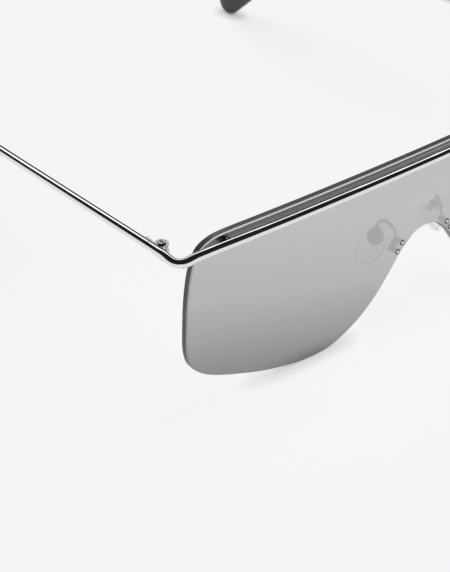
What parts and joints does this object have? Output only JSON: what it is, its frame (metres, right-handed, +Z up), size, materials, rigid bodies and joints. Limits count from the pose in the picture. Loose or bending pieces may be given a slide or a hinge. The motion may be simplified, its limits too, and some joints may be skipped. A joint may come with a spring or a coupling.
{
  "type": "sunglasses",
  "caption": "Flat-topped one-piece shield sunglasses: mirrored lens behind a round brow wire, wire temples that fold on screwed hinges, and nose pads that rock.",
  "frame": {"origin": "centre of the footprint's bounding box, on the table that the lens's lobes and the temple tips stand on", "axes": "+Z up; the lens faces -Y and the open temples run along +Y; the wearer's right is at -X"},
  "size_m": [0.1394, 0.1538, 0.0398],
  "materials": {
    "chrome": "polished, plated",
    "mirror_lens": "silver mirror coating on grey polycarbonate, polished edge",
    "steel_screw": "plain turned",
    "tip_plastic": "smooth dark grey",
    "clear_nylon": "clear, moulded",
    "silicone": "clear, soft"
  },
  "bodies": {
    "front": {"shield_lens": "mirror_lens", "brow_bar": "chrome", "lens_washer_right": "clear_nylon", "lens_washer_left": "clear_nylon", "lens_nut_right": "chrome", "lens_nut_left": "chrome", "front_hinge_right": "chrome", "front_hinge_left": "chrome", "hinge_screw_right": "steel_screw", "hinge_screw_left": "steel_screw", "pad_arm_right": "chrome", "pad_arm_left": "chrome", "pin_bush_upper_right": "clear_nylon", "pin_bush_lower_right": "clear_nylon", "pin_bush_upper_left": "clear_nylon", "pin_bush_lower_left": "clear_nylon", "pad_screw_right": "steel_screw", "pad_screw_left": "steel_screw"},
    "temple_right": {"temple_hinge_right": "chrome", "temple_wire_right": "chrome", "temple_collar_right": "chrome", "temple_tip_right": "tip_plastic"},
    "temple_left": {"temple_hinge_left": "chrome", "temple_wire_left": "chrome", "temple_collar_left": "chrome", "temple_tip_left": "tip_plastic"},
    "nose_pad_right": {"nose_pad_right": "silicone", "pad_insert_right": "chrome"},
    "nose_pad_left": {"nose_pad_left": "silicone", "pad_insert_left": "chrome"}
  },
  "joints": [
    {"name": "fold_right", "type": "hinge", "parent": "front", "child": "temple_right", "pos_m": [-0.06397, -0.06552, 0.0361], "axis": [0, 0, -1], "range_deg": [0, 90]},
    {"name": "fold_left", "type": "hinge", "parent": "front", "child": "temple_left", "pos_m": [0.06397, -0.06552, 0.0361], "axis": [0, 0, 1], "range_deg": [0, 80]},
    {"name": "pad_rock_right", "type": "hinge", "parent": "front", "child": "nose_pad_right", "pos_m": [-0.00896, -0.06952, 0.01968], "axis": [-0.3489, 0.8829, 0.3141], "range_deg": [-8, 8]},
    {"name": "pad_rock_left", "type": "hinge", "parent": "front", "child": "nose_pad_left", "pos_m": [0.00896, -0.06952, 0.01968], "axis": [-0.3489, -0.8829, -0.3141], "range_deg": [-8, 8]}
  ]
}
